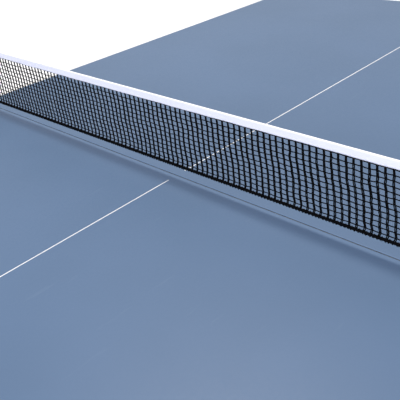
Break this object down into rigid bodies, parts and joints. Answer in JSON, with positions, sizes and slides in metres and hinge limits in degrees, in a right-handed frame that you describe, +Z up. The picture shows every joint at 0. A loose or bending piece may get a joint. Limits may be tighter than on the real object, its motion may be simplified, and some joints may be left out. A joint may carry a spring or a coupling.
{
  "type": "ping pong table",
  "caption": "Folding ping pong table with two blue boards on a wheeled chassis, swinging end legs and a black net with a white head tape.",
  "frame": {"origin": "on the floor at the centre of the table, below the middle of the net", "axes": "+X along the table's length, +Y across it, +Z up"},
  "size_m": [2.74, 1.896, 0.9125],
  "materials": {
    "board_lacquer": "matte textured blue lacquer on fibreboard",
    "frame_paint": "satin powder coat",
    "bolt_steel": "zinc plated",
    "black_plastic": "fine moulded grain",
    "foot_rubber": "matte",
    "wheel_rubber": "matte tread on grey hub",
    "fork_steel": "pressed, zinc plated",
    "post_paint": "satin black",
    "net_twine": "knotted synthetic twine",
    "net_tape_cotton": "woven white tape",
    "net_bottom_cord": "twisted black cord"
  },
  "bodies": {
    "chassis": {"cross_beam": "frame_paint", "chassis_bolts": "bolt_steel", "side_beam_left": "frame_paint", "side_beam_right": "frame_paint", "net_arm_left": "frame_paint", "net_arm_right": "frame_paint", "upright_a_left": "frame_paint", "upright_a_right": "frame_paint", "upright_b_left": "frame_paint", "upright_b_right": "frame_paint"},
    "half_a": {"top_board_a": "board_lacquer", "side_rail_a_left": "frame_paint", "side_rail_a_right": "frame_paint", "end_rail_a": "frame_paint", "inner_rail_a": "frame_paint", "corner_guards_a": "black_plastic", "board_screws_a": "bolt_steel"},
    "legs_a": {"leg_a_left": "frame_paint", "leg_a_right": "frame_paint", "leg_crossbar_a": "frame_paint", "leg_bolts_a": "bolt_steel"},
    "tie_rods_a": {"tie_rod_a_left": "bolt_steel", "tie_rod_a_right": "bolt_steel"},
    "lock_a": {"lock_plunger_a": "black_plastic"},
    "foot_a_left": {"levelling_foot_a_left": "foot_rubber"},
    "caster_a_left": {"caster_fork_a_left": "fork_steel"},
    "wheel_a_left": {"caster_wheel_a_left": "wheel_rubber"},
    "foot_a_right": {"levelling_foot_a_right": "foot_rubber"},
    "caster_a_right": {"caster_fork_a_right": "fork_steel"},
    "wheel_a_right": {"caster_wheel_a_right": "wheel_rubber"},
    "pedal_a_right": {"brake_pedal_a_right": "black_plastic"},
    "half_b": {"top_board_b": "board_lacquer", "side_rail_b_left": "frame_paint", "side_rail_b_right": "frame_paint", "end_rail_b": "frame_paint", "inner_rail_b": "frame_paint", "corner_guards_b": "black_plastic", "board_screws_b": "bolt_steel"},
    "legs_b": {"leg_b_left": "frame_paint", "leg_b_right": "frame_paint", "leg_crossbar_b": "frame_paint", "leg_bolts_b": "bolt_steel"},
    "tie_rods_b": {"tie_rod_b_left": "bolt_steel", "tie_rod_b_right": "bolt_steel"},
    "lock_b": {"lock_plunger_b": "black_plastic"},
    "foot_b_left": {"levelling_foot_b_left": "foot_rubber"},
    "caster_b_left": {"caster_fork_b_left": "fork_steel"},
    "wheel_b_left": {"caster_wheel_b_left": "wheel_rubber"},
    "foot_b_right": {"levelling_foot_b_right": "foot_rubber"},
    "caster_b_right": {"caster_fork_b_right": "fork_steel"},
    "wheel_b_right": {"caster_wheel_b_right": "wheel_rubber"},
    "pedal_b_right": {"brake_pedal_b_right": "black_plastic"},
    "net": {"net_mesh": "net_twine", "net_tape": "net_tape_cotton", "net_cord": "net_bottom_cord", "net_post_left": "post_paint", "net_post_right": "post_paint", "post_caps": "black_plastic"},
    "knob_left": {"clamp_knob_left": "black_plastic"},
    "knob_right": {"clamp_knob_right": "black_plastic"}
  },
  "joints": [
    {"name": "fold_a", "type": "hinge", "parent": "chassis", "child": "half_a", "pos_m": [-0.35, 0, 0.7], "axis": [0, 1, 0], "range_deg": [0, 90]},
    {"name": "leg_swing_a", "type": "hinge", "parent": "half_a", "child": "legs_a", "pos_m": [-1.15, 0, 0.7], "axis": [0, 1, 0], "range_deg": [-90, 0]},
    {"name": "tie_swing_a", "type": "hinge", "parent": "chassis", "child": "tie_rods_a", "pos_m": [-0.392, 0, 0.62], "axis": [0, 1, 0], "range_deg": [0, 90]},
    {"name": "lock_slide_a", "type": "slide", "parent": "chassis", "child": "lock_a", "axis": [0, -1, 0], "range_m": [0, 0.009]},
    {"name": "foot_screw_a_left", "type": "slide", "parent": "legs_a", "child": "foot_a_left", "axis": [0, 0, 1], "range_m": [0, 0.012]},
    {"name": "swivel_a_left", "type": "hinge", "parent": "chassis", "child": "caster_a_left", "pos_m": [-0.37, 0.689, 0.13], "axis": [0, 0, 1], "continuous": true},
    {"name": "wheel_spin_a_left", "type": "hinge", "parent": "caster_a_left", "child": "wheel_a_left", "pos_m": [-0.405, 0.689, 0.05], "axis": [0, 1, 0], "continuous": true},
    {"name": "foot_screw_a_right", "type": "slide", "parent": "legs_a", "child": "foot_a_right", "axis": [0, 0, 1], "range_m": [0, 0.012]},
    {"name": "swivel_a_right", "type": "hinge", "parent": "chassis", "child": "caster_a_right", "pos_m": [-0.37, -0.689, 0.13], "axis": [0, 0, 1], "continuous": true},
    {"name": "wheel_spin_a_right", "type": "hinge", "parent": "caster_a_right", "child": "wheel_a_right", "pos_m": [-0.405, -0.689, 0.05], "axis": [0, 1, 0], "continuous": true},
    {"name": "brake_tip_a_right", "type": "hinge", "parent": "caster_a_right", "child": "pedal_a_right", "pos_m": [-0.406, -0.689, 0.112], "axis": [0, -1, 0], "range_deg": [0, 12]},
    {"name": "fold_b", "type": "hinge", "parent": "chassis", "child": "half_b", "pos_m": [0.35, 0, 0.7], "axis": [0, -1, 0], "range_deg": [0, 90]},
    {"name": "leg_swing_b", "type": "hinge", "parent": "half_b", "child": "legs_b", "pos_m": [1.15, 0, 0.7], "axis": [0, -1, 0], "range_deg": [-90, 0]},
    {"name": "tie_swing_b", "type": "hinge", "parent": "chassis", "child": "tie_rods_b", "pos_m": [0.392, 0, 0.62], "axis": [0, -1, 0], "range_deg": [0, 90]},
    {"name": "lock_slide_b", "type": "slide", "parent": "chassis", "child": "lock_b", "axis": [0, -1, 0], "range_m": [0, 0.009]},
    {"name": "foot_screw_b_left", "type": "slide", "parent": "legs_b", "child": "foot_b_left", "axis": [0, 0, 1], "range_m": [0, 0.012]},
    {"name": "swivel_b_left", "type": "hinge", "parent": "chassis", "child": "caster_b_left", "pos_m": [0.37, 0.689, 0.13], "axis": [0, 0, 1], "continuous": true},
    {"name": "wheel_spin_b_left", "type": "hinge", "parent": "caster_b_left", "child": "wheel_b_left", "pos_m": [0.405, 0.689, 0.05], "axis": [0, 1, 0], "continuous": true},
    {"name": "foot_screw_b_right", "type": "slide", "parent": "legs_b", "child": "foot_b_right", "axis": [0, 0, 1], "range_m": [0, 0.012]},
    {"name": "swivel_b_right", "type": "hinge", "parent": "chassis", "child": "caster_b_right", "pos_m": [0.37, -0.689, 0.13], "axis": [0, 0, 1], "continuous": true},
    {"name": "wheel_spin_b_right", "type": "hinge", "parent": "caster_b_right", "child": "wheel_b_right", "pos_m": [0.405, -0.689, 0.05], "axis": [0, 1, 0], "continuous": true},
    {"name": "brake_tip_b_right", "type": "hinge", "parent": "caster_b_right", "child": "pedal_b_right", "pos_m": [0.406, -0.689, 0.112], "axis": [0, 1, 0], "range_deg": [0, 12]},
    {"name": "net_height", "type": "slide", "parent": "chassis", "child": "net", "axis": [0, 0, 1], "range_m": [-0.005, 0.01]},
    {"name": "knob_turn_left", "type": "hinge", "parent": "chassis", "child": "knob_left", "pos_m": [0, 0.939, 0.6], "axis": [0, 1, 0], "continuous": true},
    {"name": "knob_turn_right", "type": "hinge", "parent": "chassis", "child": "knob_right", "pos_m": [0, -0.939, 0.6], "axis": [0, 1, 0], "continuous": true}
  ],
  "couplings": [
    {"joint": "leg_swing_a", "follows": "fold_a", "ratio": -1},
    {"joint": "tie_swing_a", "follows": "fold_a", "ratio": 1},
    {"joint": "leg_swing_b", "follows": "fold_b", "ratio": -1},
    {"joint": "tie_swing_b", "follows": "fold_b", "ratio": 1}
  ]
}
